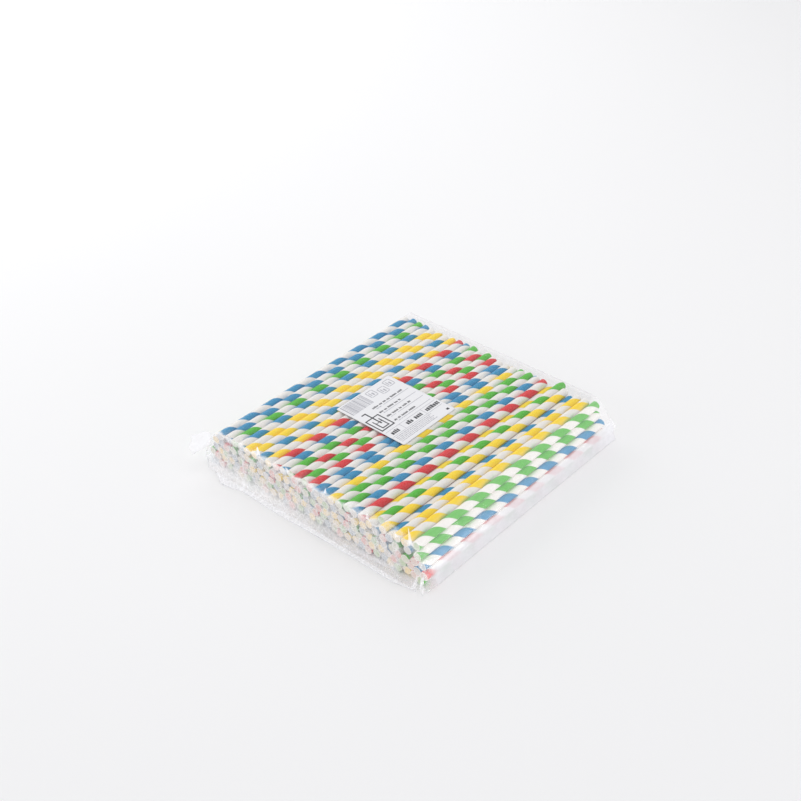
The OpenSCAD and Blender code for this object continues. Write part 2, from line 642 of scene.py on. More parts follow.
def plain_mesh(name: str, points: Sequence, faces: Sequence, smooth: bool) -> bpy.types.Mesh:
    """Makes a mesh.

    Args:
        name: its name.
        points: its points.
        faces: its faces.
        smooth: whether it is shaded smoothly.

    Returns:
        The mesh.
    """
    mesh = bpy.data.meshes.new(name)
    mesh.from_pydata(points, [], faces)
    mesh.polygons.foreach_set("use_smooth", [smooth] * len(mesh.polygons))
    return mesh


def set_values(mesh: bpy.types.Mesh, name: str, values: Sequence, kind: str = "FLOAT") -> None:
    """Gives a mesh a named value at each point."""
    mesh.attributes.new(name, kind, "POINT").data.foreach_set("value", values)


def lattice(first: Sequence[float], second: Sequence[float]) -> list[np.ndarray]:
    """The two coordinates of a grid's points, row by row."""
    return np.meshgrid(first, second, indexing="ij")


def sheet_mesh(
    name: str, points: np.ndarray, traits: Optional[dict] = None, closed: bool = False
) -> bpy.types.Mesh:
    """Turns a grid of points into a mesh.

    Args:
        name: the mesh's name.
        points: the grid's points, ring by ring.
        traits: values of each named attribute.
        closed: whether the rings are closed, with faces over the first and the last.

    Returns:
        The mesh.
    """
    rings, count = points.shape[:2]
    j, i = lattice(np.arange(rings - 1), np.arange(count if closed else count - 1))
    a, b = j * count + i, j * count + (i + 1) % count
    faces = np.stack([a, a + count, b + count, b], -1).reshape(-1, 4).tolist()
    if closed:
        faces += cap(points[0], 0, True) + cap(points[-1], (rings - 1) * count, False)
    mesh = plain_mesh(name, points.reshape(-1, 3).tolist(), faces, True)
    for key, values in (traits or {}).items():
        set_values(mesh, key, values.ravel())
    return mesh


def cap(ring: np.ndarray, first: int, outward: bool) -> list:
    """Faces that close a flattened ring, from left to right between its two layers.

    Args:
        ring: the ring's points, which start at its left end.
        first: number of the ring's first point.
        outward: whether the faces follow the ring's own direction.

    Returns:
        The faces.
    """
    faces = []
    low, high = 0, len(ring) - 1
    while high - low > 1:
        if ring[low + 1][0] < ring[high - 1][0]:
            corners = [first + low, first + low + 1, first + high]
            low += 1
        else:
            corners = [first + low, first + high - 1, first + high]
            high -= 1
        faces.append(corners if outward else corners[::-1])
    return faces


@dataclass
class StrawPile:
    """The paper straws: the top row one by one, and the four rows below as a piece each.

    Colours are the inks' first letters. Turns of the stripes are degrees. The end colours and
    turns are those of the last straws of each lower row, which show at the right flank.
    """

    row_nodes: tuple = ("second_row", "third_row", "fourth_row", "bottom_row")
    top_colours: str = "BBGBYYBYRBGRGRBBYGGBRYGYBYYG"
    mixed_colours: str = "BGRYYBRGBYG"
    colour_step: int = 4
    end_colours: tuple = ("BG", "GRB", "RBR", "YRG")
    top_turns: tuple = (
        285, 125, 105, 125, 265, 355, 245, 35, 145, 180, 135, 305, 55, 350,
        260, 265, 225, 175, 45, 205, 125, 10, 115, 240, 30, 305, 305, 145,
    )
    end_turns: tuple = ((245, 178), (245, 245, 130), (245, 245, 200), (120, 200, 80))
    wall: float = 0.4 * MM
    rim_cut: float = 0.06 * MM
    sides: int = 36
    seed: int = 11
    rows: list = field(default_factory=list)

    def read_frame(self) -> None:
        """Reads every straw's place from the frame."""
        self.rows = [[read_tubes(f"straw_{i + 1:02d}")[0] for i in range(len(self.top_colours))]]
        self.rows += [read_tubes(node) for node in self.row_nodes]

    @property
    def tubes(self) -> list[Tube]:
        """All the straws."""
        return [tube for row in self.rows for tube in row]

    def maker(self) -> bpy.types.NodeTree:
        """Geometry nodes that set a paper tube on each point of a mesh.

        Returns:
            The node tree, which gives each tube the paper of its ink.
        """
        tree = bpy.data.node_groups.new("paper_tube_maker", "GeometryNodeTree")
        face = tree.interface
        face.new_socket("Geometry", in_out="INPUT", socket_type="NodeSocketGeometry")
        for name in ("Diameter", "Length", "Wall", "Rim Cut"):
            face.new_socket(name, in_out="INPUT", socket_type="NodeSocketFloat")
        face.new_socket("Sides", in_out="INPUT", socket_type="NodeSocketInt")
        face.new_socket("Geometry", in_out="OUTPUT", socket_type="NodeSocketGeometry")
        kit = NodeKit(tree)
        given = kit.make("NodeGroupInput").outputs
        middle = (Number(kit, given["Diameter"]) - given["Wall"]) / 2.0
        circle = {"Resolution": given["Sides"], "Radius": middle}
        ring = kit.make("GeometryNodeCurvePrimitiveCircle", circle, mode="RADIUS")
        oblong = {"Width": given["Wall"], "Height": given["Length"]}
        section = kit.make("GeometryNodeCurvePrimitiveQuadrilateral", oblong, mode="RECTANGLE")
        edges = {"Curve": section, "Radius": given["Rim Cut"]}
        eased = kit.make("GeometryNodeFilletCurve", edges, mode="POLY")
        tube = kit.make("GeometryNodeCurveToMesh", {"Curve": ring, "Profile Curve": eased})
        _, _, facing = kit.split(kit.make("GeometryNodeInputNormal"))
        end_face = facing.distance().math("GREATER_THAN", 0.5)
        rimmed = kit.make(
            "GeometryNodeStoreNamedAttribute",
            {"Geometry": tube, "Name": "rim", "Value": end_face},
            data_type="FLOAT",
            domain="FACE",
        )
        position = kit.make("GeometryNodeInputPosition")
        axis = kit.make(
            "GeometryNodeStoreNamedAttribute",
            {"Geometry": given["Geometry"], "Name": "axis", "Value": position},
            data_type="FLOAT_VECTOR",
            domain="POINT",
        )
        turned = {"Points": axis, "Instance": rimmed, "Rotation": (math.pi / 2, 0.0, 0.0)}
        placed = kit.make("GeometryNodeInstanceOnPoints", turned)
        shape = kit.make("GeometryNodeRealizeInstances", {0: placed})
        for ink in Ink:
            paper = StripedPaper(ink, self.rows[0][0].radius, self.wall).material()
            colour = kit.make("GeometryNodeInputNamedAttribute", {"Name": "ink"}, data_type="INT")
            both = {"A": kit.number(colour, "Attribute"), "B": ink.place}
            same = kit.make("FunctionNodeCompare", both, data_type="INT", operation="EQUAL")
            dress = {"Geometry": shape, "Selection": same, "Material": paper}
            shape = kit.make("GeometryNodeSetMaterial", dress)
        kit.make("NodeGroupOutput", {0: shape})
        return tree

    def straws(
        self, name: str, tubes: Sequence[Tube], inks: Sequence[Ink], turns: Sequence[float],
        maker: bpy.types.NodeTree,
    ) -> Thing:
        """Makes the straws of one piece.

        Args:
            name: the piece's name.
            tubes: places of its straws.
            inks: ink of each straw.
            turns: turn of each straw's stripe, in degrees.
            maker: the node tree that makes the tubes.

        Returns:
            The piece, as a plain mesh.
        """
        mesh = plain_mesh(name, [(tube.x, tube.middle, tube.z) for tube in tubes], [], False)
        set_values(mesh, "ink", [ink.place for ink in inks], "INT")
        set_values(mesh, "turn", [turn / 360 for turn in turns])
        seeds = new_object(name, mesh)
        modifier = seeds.modifiers.new("tubes", "NODES")
        modifier.node_group = maker
        sizes = {
            "Diameter": tubes[0].radius * 2,
            "Length": tubes[0].far - tubes[0].near,
            "Wall": self.wall,
            "Rim Cut": self.rim_cut,
            "Sides": self.sides,
        }
        for item in maker.interface.items_tree:
            if item.name in sizes:
                modifier[item.identifier] = sizes[item.name]
        piece = frozen_copy(seeds, name)
        piece.data.polygons.foreach_set("use_smooth", [True] * len(piece.data.polygons))
        piece.data.set_sharp_from_angle(angle=math.radians(30))
        return piece

    def row_letters(self, row: int) -> str:
        """Colours of a lower row.

        Args:
            row: the row's number, 1 for the second row.

        Returns:
            The first letters of its inks, from left to right.
        """
        last = self.end_colours[row - 1]
        places = range(self.colour_step * row, self.colour_step * row + len(self.rows[row]))
        mixed = [self.mixed_colours[place % len(self.mixed_colours)] for place in places]
        return "".join(mixed[: -len(last)]) + last

    def build(self) -> None:
        """Makes every straw and ties it to the frame."""
        maker = self.maker()
        for i, tube in enumerate(self.rows[0]):
            ink = Ink.of_letter(self.top_colours[i])
            name = f"straw_{i + 1:02d}"
            piece = self.straws(f"paper_{name}", [tube], [ink], [self.top_turns[i]], maker)
            settle(piece, ink.slot, name)
        dice = np.random.default_rng(self.seed)
        for row, node in enumerate(self.row_nodes, 1):
            last = self.end_turns[row - 1]
            turns = [*dice.integers(0, 36, len(self.rows[row]) - len(last)) * 10, *last]
            inks = [Ink.of_letter(letter) for letter in self.row_letters(row)]
            piece = self.straws(f"paper_straws_{node}", self.rows[row], inks, turns, maker)
            settle(piece, "paper_mixed", node)


@dataclass(frozen=True)
class Creases:
    """A field of sharp folds, such as stiff film takes when it is crushed."""

    waves: int
    shortest: float
    longest: float
    seed: int
    heading: float = 0.0
    spread: float = 180.0

    def height(self, u: np.ndarray, v: np.ndarray) -> tuple[np.ndarray, np.ndarray]:
        """Height of the folds at points of the flat film.

        Args:
            u: places across the film.
            v: places along the film.

        Returns:
            The height, from about -1 to 1, and how near a crease each point is, from 0 to 1.
        """
        dice = np.random.default_rng(self.seed)
        total, ridge, weight = np.zeros_like(u), np.zeros_like(u), 0.0
        for _ in range(self.waves):
            angle = math.radians(self.heading + dice.uniform(-0.5, 0.5) * self.spread)
            length = self.shortest * (self.longest / self.shortest) ** dice.uniform()
            shift, bend = dice.uniform(0, 1), dice.uniform(0.15, 0.45)
            sway = np.sin((-u * math.sin(angle) + v * math.cos(angle)) / length * 2.1 + shift * 9)
            t = (u * math.cos(angle) + v * math.sin(angle)) / length + shift + bend * sway
            wave = 4 * np.abs(t - np.floor(t + 0.5)) - 1
            total += wave * length
            sharp = smooth_step(0.82, 1.0, np.abs(wave))
            ridge = np.maximum(ridge, sharp * min(1.0, length / self.longest + 0.35))
            weight += length * length
        return total / math.sqrt(weight), ridge


@dataclass(frozen=True)
class Station:
    """One ring of the wrapper across the pack.

    Its outline is scaled to stand height high and wide times as wide, and lies at y. The flap is
    the ring's share of the skirt, wall its share of the way down an end wall, and path the way
    along the film from the crease.
    """

    y: float
    height: float
    wide: float
    wall: float
    flap: float
    path: float


@dataclass(frozen=True)
class Pleats:
    """Pressed-in folds of the near end wall, in millimetres.

    Each upright one has its foot's place across, its lean and half its width. The level one runs
    between two places across, at two shares of the way down the wall.
    """

    upright: tuple = ((-76, -4, 2.6), (104, -5, 3.0))
    level: tuple = (42, 100, 0.97, 0.8)
    level_half: float = 0.07

    def strength(self, x: np.ndarray, wall: np.ndarray) -> np.ndarray:
        """Strength of the folds.

        Args:
            x: places across the pack.
            wall: share of the way down the wall.

        Returns:
            The strength, from 0 to 1.
        """
        total = np.zeros_like(x)
        for foot, lean, half in self.upright:
            off = np.abs(x - foot * MM - lean * MM * (1 - wall)) / (half * MM)
            total = np.maximum(total, np.clip(1 - off, 0, 1))
        start, finish, low, high = self.level
        along = (x - start * MM) / ((finish - start) * MM)
        off = np.abs(wall - low - (high - low) * np.clip(along, 0, 1)) / self.level_half
        inside = smooth_step(-0.05, 0.05, along) * smooth_step(1.05, 0.95, along)
        total = np.maximum(total, np.clip(1 - off, 0, 1) * inside)
        return total * smooth_step(0.0, 0.1, wall)


@dataclass(frozen=True)
class Dents:
    """Depths of the bag's folds and dents in each zone, in millimetres.

    The two limits are how far the film may sink in on an end wall and elsewhere.
    """

    slack: float = 0.1
    gathered_edge: float = 0.12
    gathered_rim: float = 0.2
    crushed_rim: float = 0.1
    crushed_wall: float = 0.5
    crushed_side: float = 0.08
    fine_rim: float = 0.02
    fine_wall: float = 0.06
    pleat: float = 1.2
    wall_limit: float = 1.1
    sleeve_limit: float = 0.32
    skirt_lift: float = 0.5
    skirt_slack: float = 0.3


@dataclass(frozen=True)
class Haze:
    """Strengths of the film's zones, first as milky veil, then as painted grey shade and as
    crinkle. The side and flank veils are painted light: white haze for the stronger light and
    glare on the right.
    """

    clear: float = 0.004
    rim: float = 0.04
    side: float = 0.14
    flank: float = 0.64
    hem: float = 0.4
    net: float = 0.2
    net_window: float = 0.17
    net_ridge: float = 0.2
    skirt: float = 0.1
    pleat: float = 0.3
    foot: float = 0.3
    far: float = 0.14
    far_wall: float = 0.1
    gather: float = 0.1
    thickest: float = 0.92
    far_shade: float = 0.9
    far_skirt_light: float = 0.5
    skirt_shade: float = 0.1
    net_shade: float = 0.45
    flank_shade: float = 0.5
    low_flank_shade: float = 0.06
    far_crinkle: float = 0.004
    near_crinkle: float = 0.01
    edge_crinkle: float = 0.02
    rim_crinkle: float = 0.04
    net_crinkle: float = 0.09
    hem_crinkle: float = 0.06


@dataclass
class Sheet:
    """The bag's points, ring by ring, and where they lie on the film.

    The way across the flat film is u and the way along it v. The wall is the share of the way
    down an end wall, the flap the share of the way out along a skirt, and end is -1 at the near
    end wall, 1 at the far one and 0 between. The inset is the way in from the straws' near ends,
    and the depth the way in from the nearer ends.
    """

    points: np.ndarray
    u: np.ndarray
    v: np.ndarray
    wall: np.ndarray
    flap: np.ndarray
    end: np.ndarray
    inset: np.ndarray
    depth: np.ndarray

    def __post_init__(self) -> None:
        """Works out the zones and the creases that the shape and the looks share."""
        self.normals = self.outward()
        self.x, self.y, self.z = np.moveaxis(self.points, -1, 0)
        self.near = self.end < 0
        self.edge = smooth_step(26 * MM, -2 * MM, self.depth)
        self.rim = smooth_step(9 * MM, -3 * MM, self.depth)
        self.walled = np.where(self.end != 0, smooth_step(0.0, 0.12, self.wall), 0.0)
        self.flapped = smooth_step(0.0, 0.3, self.flap)
        self.right = smooth_step(108 * MM, 122 * MM, self.x) * (1 - self.walled)
        self.calm = np.where(self.y > 0, 0.4, 1.0)
        self.pleat = Pleats().strength(self.x, self.wall) * self.near
        gathers = Creases(6, 7 * MM, 24 * MM, 3, 0.0, 34.0)
        self.gather, self.gather_ridge = gathers.height(self.u, self.v)
        self.crush, self.crush_ridge = Creases(9, 9 * MM, 34 * MM, 8).height(self.u, self.v)

    def outward(self) -> np.ndarray:
        """Unit normals of the smooth bag, whose rings run counterclockwise from the front."""
        around = np.roll(self.points, -1, 1) - np.roll(self.points, 1, 1)
        normals = np.cross(np.gradient(self.points, axis=0), around)
        return normals / np.maximum(np.linalg.norm(normals, axis=2, keepdims=True), 1e-12)

    def dented(self, flare: float, flare_height: float) -> np.ndarray:
        """Folds and dents the bag.

        Args:
            flare: how far the right flank's foot spreads.
            flare_height: height below which it spreads.

        Returns:
            The moved points.
        """
        dents, z = Dents(), self.z
        top = z.max()
        fine, _ = Creases(8, 4 * MM, 11 * MM, 21).height(self.u, self.v)
        slack, _ = Creases(5, 30 * MM, 80 * MM, 5, 90.0, 70.0).height(self.u, self.v)
        left = smooth_step(-114 * MM, -126 * MM, self.x) * (1 - self.walled)
        on_floor = smooth_step(1.2 * MM, 0.4 * MM, z)
        gathered = dents.gathered_edge * self.edge**2 + dents.gathered_rim * self.rim
        crushed = dents.crushed_rim * self.rim + dents.crushed_wall * self.walled
        finely = dents.fine_rim * self.rim + dents.fine_wall * self.walled
        out = slack * dents.slack + dents.pleat * self.pleat
        out = out + self.calm * (self.gather * gathered + self.crush * crushed + fine * finely)
        out = out + self.crush * dents.crushed_side * (self.right + left)
        limit = np.where(self.walled > 0.5, dents.wall_limit, dents.sleeve_limit)
        out = np.maximum(out, -limit) * MM
        loose = (self.normals[..., 2] > -0.3) * self.flapped
        lift = dents.skirt_lift * (1 - self.flap) + dents.skirt_slack * np.abs(slack)
        out = np.where(self.flap > 0, lift * MM * loose, out * (1 - on_floor))
        moved = self.points + self.normals * out[..., None]
        moved[..., 0] += flare * self.right * np.clip(1 - z / flare_height, 0, 1) ** 2
        moved[..., 2] *= 1 - self.right * 0.7 * smooth_step(5 * MM, 0.0, z)
        moved[..., 2] = np.clip(moved[..., 2], 0.02 * MM, top + 1.2 * MM)
        return moved

    def looks(self) -> dict[str, np.ndarray]:
        """Says where the film is milky, crinkled and painted grey with shade, and where its veil
        is painted light on the right.

        Returns:
            The veil, crinkle and shade at each point.
        """
        haze = Haze()
        x, y, z = self.x, self.y, self.z
        window = smooth_step(98 * MM, 105 * MM, x)
        wide_hem = smooth_step(25 * MM, 55 * MM, x)
        # Painted light: white haze over the rightmost straws stands for the stronger light on
        # them.
        right_painted_haze = smooth_step(102 * MM, 112 * MM, x) * (1 - self.walled)
        # Painted glare and shade: the low right flank is veiled white as if washed out by light,
        # then greyed to the tone of the floor's shadow.
        flank = self.right * smooth_step(19 * MM, 16.2 * MM, z)
        flank = flank * smooth_step(2 * MM, 13 * MM, self.inset)
        net = np.where(self.end != 0, smooth_step(0.3, 0.75, np.abs(self.normals[..., 1])), 0)
        net = net * (1 - self.flapped) * smooth_step(-128 * MM, -112 * MM, x)
        milky_foot = net * smooth_step(0.45, 0.95, self.wall) * smooth_step(50 * MM, -50 * MM, x)
        hem_edge = (1.5 + 6 * wide_hem) * MM + self.gather * (1.0 + 1.6 * wide_hem) * MM
        hem = smooth_step(hem_edge + 1.2 * MM, hem_edge - 1.2 * MM, self.inset)
        hem = hem * smooth_step(-0.2, 0.5, self.normals[..., 2])
        hem = hem * (1 - 0.45 * wide_hem) * (1 - 0.9 * window)
        far_band = np.where(self.end > 0, smooth_step(112 * MM, 100 * MM, x), 0)
        low_flank = smooth_step(14 * MM, 2 * MM, z)
        ridge = haze.net_ridge * self.crush_ridge**3 * (1 - window)
        near_veil = (
            net * (haze.net - haze.net_window * window + ridge)
            + haze.skirt * self.flapped
            + haze.pleat * self.pleat
            + haze.foot * milky_foot
        )
        veil = (
            haze.clear
            + haze.rim * self.rim
            + haze.side * right_painted_haze
            + haze.flank * flank
            + haze.hem * hem * (1 - net)
            + near_veil * self.near
            + far_band * (haze.far * (1 - self.flapped) + haze.far_wall * self.walled)
            + haze.gather * self.gather_ridge * self.edge**2 * self.calm
        )
        # Painted shade: the film is greyed on the far band, the near skirt, the near wall and the
        # low right flank.
        near_shade = haze.skirt_shade * self.flapped + haze.net_shade * net * (1 - milky_foot)
        shade = (
            far_band * (haze.far_shade - haze.far_skirt_light * self.flapped)
            + near_shade * self.near
            + flank * (haze.flank_shade + haze.low_flank_shade * low_flank)
        )
        netted = net * (1 - 0.8 * window) * smooth_step(0.95, 0.6, self.wall)
        netted = netted * (1 - 0.6 * milky_foot)
        front = (
            haze.edge_crinkle * self.edge**2
            + haze.rim_crinkle * self.rim
            + haze.net_crinkle * netted
        )
        crinkle = (
            np.where(y > 0, haze.far_crinkle, haze.near_crinkle)
            + np.where(y < 0, front, 0)
            + haze.hem_crinkle * hem * wide_hem
        )
        veil, shade = np.clip(veil, 0, haze.thickest), np.clip(shade, 0, 1)
        return {"veil": veil, "crinkle": crinkle, "shade": shade}


@dataclass(frozen=True)
class Fold:
    """A loose flap of film that stands out from a corner, in millimetres.

    Its root lies across and along from the corner. It points in a heading, degrees from +X
    towards +Y. Its lower and upper edges each have a height at the root and at the tip. Veil is
    how milky it is, seed is that of its folds, and ruffle is their depth.
    """

    name: str
    root: tuple
    heading: float
    reach: float
    low: tuple
    high: tuple
    veil: float
    seed: int
    ruffle: float = 1.6
    thickness: float = 0.08

    def piece(self, corner: tuple[float, float]) -> Thing:
        """Makes the flap.

        Args:
            corner: the bag's corner, across and along, in metres.

        Returns:
            The flap.
        """
        s, t = lattice(np.linspace(0, 1, 30), np.linspace(0, 1, 22))
        reach = self.reach * MM
        rise = (self.high[0] - self.low[0]) * MM
        way = Vector((math.cos(math.radians(self.heading)), math.sin(math.radians(self.heading))))
        crush, ridge = Creases(5, 8 * MM, 22 * MM, self.seed).height(s * reach, t * rise)
        bend = np.sin(s * 2.6 + self.seed) * reach * 0.10 * s
        off = crush * self.ruffle * MM * smooth_step(0.0, 0.25, s) + bend
        ragged = 1 + 0.06 * np.sin(t * 9 + self.seed) - 0.10 * t * t
        out = s * reach * ragged
        bottom, roof = ((a + (b - a) * s) * MM for a, b in (self.low, self.high))
        z = bottom + (roof - bottom) * t + 0.6 * MM * np.sin(s * 11 + self.seed) * t
        x = corner[0] + self.root[0] * MM + way.x * out - way.y * off
        y = corner[1] + self.root[1] * MM + way.y * out + way.x * off
        veil = np.clip(self.veil + 0.15 * ridge, 0, 0.95)
        traits = {"veil": veil, "crinkle": 0.01 + 0 * ridge, "shade": 0 * ridge}
        points = np.stack([x, y, np.maximum(z, 0.1 * MM)], -1)
        return thickened(sheet_mesh(self.name, points, traits), self.thickness * MM)


@dataclass(frozen=True)
class Tuft:
    """A small pointed fold that the gathered film makes at its near crease, in millimetres.

    It runs from the middle of its foot to its tip, and half is half its width at the foot. Veil
    is how milky it is.
    """

    root: tuple
    tip: tuple
    half: float
    veil: float
    thickness: float = 0.08

    def piece(self, name: str) -> Thing:
        """Makes the fold.

        Args:
            name: the piece's name.

        Returns:
            A pointed sheet with a keel along its middle.
        """
        s, t = lattice(np.linspace(0, 1, 12), np.linspace(-1, 1, 9))
        start = np.array(self.root, float)
        way = np.array(self.tip, float) - start
        level = np.array([way[1], -way[0], 0.0]) / np.hypot(way[0], way[1])
        side = t * self.half * (1 - s) ** 0.8
        points = start + way * s[..., None] + level * side[..., None]
        keel = (1 - np.abs(t)) * self.half * 0.7 * (1 - s)
        points[..., 2] += keel + 0.08 * np.linalg.norm(way) * np.sin(s * math.pi)
        traits = {"veil": self.veil - 0.2 * s, "crinkle": 0.01 + 0 * s, "shade": 0 * s}
        return thickened(sheet_mesh(name, points * MM, traits), self.thickness * MM)


@dataclass
class FilmWrapper:
    """The clear bag round the pile, with its skirts, its ear, its folds and its tufts.

    A skirt's reach is given in millimetres at places across the pack. Each fold has its corner
    before it: -1 for the left or the near side, 1 for the right or the far one.
    """

    tubes: Sequence[Tube]
    clearance: float = 0.45 * MM
    grid: float = 1.5 * MM
    underside_grid: float = 8 * MM
    near_room: float = 2.8 * MM
    far_room: float = 9.4 * MM
    straw_span: float = 0.252
    crease_radius: float = 2.4 * MM
    wall_lean: float = 4 * MM
    foot_narrowing: float = 0.055
    seam_height: float = 0.5 * MM
    flare: float = 6.0 * MM
    flare_height: float = 7.0 * MM
    near_skirt: tuple = (
        (-130, 0.5), (-116, 1), (-104, 9), (-98, 10), (-78, 5),
        (-36, 6.5), (0, 5.5), (42, 4.7), (107, 5.5), (130, 1.5),
    )
    far_skirt: tuple = ((-130, 6), (-60, 8), (40, 7), (130, 5))
    folds: tuple = (
        (1, -1, Fold("film_fold_near_right", (-5, 0), 292, 7, (0, 1), (20, 8), 0.2, 5)),
        (1, -1, Fold("film_fold_near_corner", (-12, 0), 262, 6, (0, 1), (14, 5), 0.3, 6)),
        (-1, 1, Fold("film_fold_far_left", (8, 0), 100, 7, (0, 0), (22, 12), 0.3, 7)),
        (1, 1, Fold("film_fold_far_right", (-8, 0), 80, 7, (0, 0), (22, 12), 0.3, 9)),
    )
    tufts: tuple = (
        Tuft((-61.5, -126.5, 39), (-70, -120, 41.5), 1.8, 0.6),
        Tuft((-25.6, -126.5, 39), (-31, -124, 41), 1.4, 0.5),
        Tuft((17.7, -126.5, 39), (14, -122, 41), 1.2, 0.5),
        Tuft((65.8, -127.5, 38.5), (62, -123, 41), 1.6, 0.4),
        Tuft((98, -128, 38), (95, -127, 41.5), 1.5, 0.5),
        Tuft((112, -127, 36.5), (99.5, -115.5, 41.5), 1.6, 0.42),
    )
    near_end: float = 0.0
    far_end: float = 0.0
    outline: np.ndarray = field(default_factory=lambda: np.zeros((0, 3)))

    def wrap(self) -> np.ndarray:
        """Draws a taut line round the straws, straight down to the floor beside the widest.

        Returns:
            Points of the line, as respaced gives them, counterclockwise.
        """
        places = {(tube.x, tube.z) for tube in self.tubes}
        lowest = min(tube.z for tube in self.tubes)
        for widest in (min(places)[0], max(places)[0]):
            places.add((widest, lowest))
        spots = sorted(places)
        lower, upper = self.half_hull(spots), self.half_hull(spots[::-1])
        corners = [Vector(spot) for spot in lower[:-1] + upper[:-1]]
        radius = self.tubes[0].radius + self.clearance
        points = []
        for i, corner in enumerate(corners):
            before = corner - corners[i - 1]
            after = corners[(i + 1) % len(corners)] - corner
            heading = math.atan2(before.y, before.x)
            sweep = (math.atan2(after.y, after.x) - heading) % (2 * math.pi)
            parts = max(1, round(sweep * radius / (0.4 * self.grid)))
            for k in range(parts + 1):
                angle = heading - math.pi / 2 + sweep * k / parts
                points.append(
                    (corner.x + radius * math.cos(angle), corner.y + radius * math.sin(angle))
                )
        return self.respaced(np.array(points))

    @staticmethod
    def half_hull(spots: Sequence[tuple]) -> list:
        """Half of the line round some points.

        Args:
            spots: the points, sorted across.

        Returns:
            The line's corners.
        """
        hull: list = []
        for spot in spots:
            while len(hull) > 1:
                (ax, ay), (bx, by) = hull[-2], hull[-1]
                if (bx - ax) * (spot[1] - ay) - (by - ay) * (spot[0] - ax) > 0:
                    break
                hull.pop()
            hull.append(spot)
        return hull

    def respaced(self, points: np.ndarray) -> np.ndarray:
        """Spaces the points of the outline, closely where it shows and widely underneath.

        Args:
            points: across and up, all round.

        Returns:
            Across, up, and the way along the line from the middle of the top.
        """
        loop = np.vstack([points, points[:1]])
        steps = np.hypot(np.diff(loop[:, 0]), np.diff(loop[:, 1]))
        way = np.concatenate([[0], np.cumsum(steps)])
        under = loop[:, 1] < loop[:, 1].min() + 0.05 * MM
        dense = np.linspace(0, way[-1], 4000, endpoint=False)
        low = np.interp(dense, way, under.astype(float)) > 0.5
        cost = np.where(low, 1 / self.underside_grid, 1 / self.grid)
        share = np.concatenate([[0], np.cumsum(cost)]) * (dense[1] - dense[0])
        count = int(share[-1])
        chosen = np.interp(np.arange(count) * share[-1] / count, share[:-1], dense)
        x = np.interp(chosen, way, loop[:, 0])
        z = np.interp(chosen, way, loop[:, 1])
        top = chosen[np.argmin(np.where(z > z.max() - MM, np.abs(x), 1e9))]
        return np.stack([x, z, top - chosen], 1)

    def end_stations(
        self, side: int, end: float, room: float, rings: int, skirt_rings: int
    ) -> list[Station]:
        """Rings from the crease at one end, down its wall and out along its skirt.

        Args:
            side: -1 for the near end, 1 for the far one.
            end: where the straws end.
            room: distance from there to the wall.
            rings: number of rings down the wall.
            skirt_rings: number of rings along the skirt.

        Returns:
            The rings, from the crease outwards.
        """
        full = np.ptp(self.outline[:, 1])
        wall = end + side * room
        radius = self.crease_radius
        stations = []
        for k in range(5):
            a = math.radians(90 * k / 4)
            y = wall - side * radius * (1 - math.sin(a))
            height = full - radius * (1 - math.cos(a))
            stations.append(Station(y, height, 1.0, 0.0, 0.0, radius * a))
        drop = full - radius
        path = stations[-1].path
        for k in range(1, rings + 1):
            s = k / rings
            y = wall + side * self.wall_lean * s * s
            height = drop * (1 - s) + self.seam_height * s
            wide = 1 - self.foot_narrowing * s
            stations.append(Station(y, height, wide, s, 0.0, path + drop * s))
        foot = stations[-1]
        for k in range(1, skirt_rings + 1):
            t = k / skirt_rings
            height = self.seam_height * (1 - 0.6 * t)
            wide, way = foot.wide + 0.01 * t, foot.path + 8 * MM * t
            stations.append(Station(foot.y, height, wide, 1.0, t, way))
        return stations

    def ring(self, station: Station, side: int) -> np.ndarray:
        """Points of one ring at an end of the bag.

        Args:
            station: the ring's place and scale.
            side: -1 for the near end, 1 for the far one.

        Returns:
            The points.
        """
        x, z, _ = self.outline.T
        base = z.min()
        skirt = np.array(self.near_skirt if side < 0 else self.far_skirt, float) * MM
        reach = np.interp(x, skirt[:, 0], skirt[:, 1]) * station.flap
        height = base + (z - base) * station.height / (z.max() - base)
        return np.stack([x * station.wide, station.y + side * reach, height], 1)

    def film_sheet(self) -> Sheet:
        """Places every point of the smooth bag.

        Returns:
            The bag, ring by ring from the near skirt to the far one.
        """
        near = self.end_stations(-1, self.near_end, self.near_room, 34, 7)
        far = self.end_stations(1, self.far_end, self.far_room, 24, 6)
        start, finish = near[0].y, far[0].y
        half, middle = (finish - start) / 2, (start + finish) / 2
        count = round((finish - start) / self.grid)
        x, z, u = self.outline.T
        rings, marks = [], []
        for side, stations in ((-1, near[::-1]), (0, range(1, count)), (1, far)):
            for station in stations:
                if side:
                    rings.append(self.ring(station, side))
                    way = side * (half + station.path) + middle
                    marks.append((way, station.wall, station.flap, side))
                else:
                    y = start + (finish - start) * station / count
                    rings.append(np.stack([x, y + 0 * x, z], 1))
                    marks.append((y, 0.0, 0.0, 0.0))
        points = np.stack(rings)
        shape = points.shape[:2]
        columns = np.array(marks, float).T[..., None]
        v, wall, flap, end = (np.broadcast_to(column, shape) for column in columns)
        inset = points[..., 1] - self.near_end
        depth = np.minimum(inset, self.far_end - points[..., 1])
        return Sheet(points, np.broadcast_to(u, shape), v, wall, flap, end, inset, depth)

